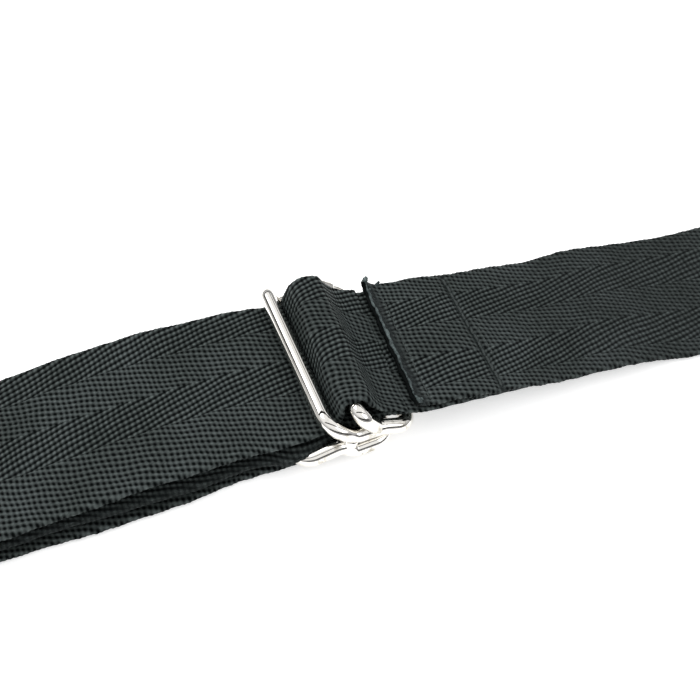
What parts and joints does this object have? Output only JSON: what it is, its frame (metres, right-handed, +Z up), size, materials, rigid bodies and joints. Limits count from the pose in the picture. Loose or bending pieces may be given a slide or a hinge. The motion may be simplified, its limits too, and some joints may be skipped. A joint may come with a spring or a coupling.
{
  "type": "guitar strap",
  "caption": "Adjustable black webbing guitar strap with a polished double wire slider, a ring, and leather ends with slit button holes.",
  "frame": {"origin": "middle of the laid-out strap at the surface it lies on, under the left bar of the upper slider wire", "axes": "+X along the strap towards its shoulder end, +Y across the webbing, +Z up from the surface"},
  "size_m": [0.92, 0.06, 0.0206],
  "materials": {
    "webbing": "black herringbone twill webbing",
    "thread": "black sewing thread",
    "wire": "polished nickel-chrome plated steel wire",
    "leather": "black grained leather"
  },
  "bodies": {
    "strap": {"shoulder_webbing": "webbing", "adjuster_webbing": "webbing", "lap_stitch_row_front": "thread", "lap_stitch_row_rear": "thread", "shoulder_leather_top": "leather", "shoulder_leather_bottom": "leather", "shoulder_leather_stitches": "thread"},
    "slider": {"upper_slider_frame": "wire", "upper_centre_bar": "wire", "lower_slider_frame": "wire", "lower_centre_bar": "wire", "hump_webbing": "webbing", "return_webbing_fold": "webbing", "fold_stitches": "thread"},
    "ring": {"tail_ring": "wire", "ring_turn_webbing": "webbing"},
    "tail": {"tail_webbing": "webbing", "tail_stitches": "thread", "tail_leather_top": "leather", "tail_leather_bottom": "leather", "tail_leather_stitches": "thread"}
  },
  "joints": [
    {"name": "slider_slide", "type": "slide", "parent": "strap", "child": "slider", "axis": [1, 0, 0], "range_m": [-0.28, 0]},
    {"name": "ring_slide", "type": "slide", "parent": "strap", "child": "ring", "axis": [1, 0, 0], "range_m": [-0.14, 0]},
    {"name": "tail_hinge", "type": "hinge", "parent": "ring", "child": "tail", "pos_m": [-0.342, 0, 0.00405], "axis": [0, 1, 0], "range_deg": [0, 95]}
  ],
  "couplings": [
    {"joint": "ring_slide", "follows": "slider_slide", "ratio": 0.5}
  ]
}
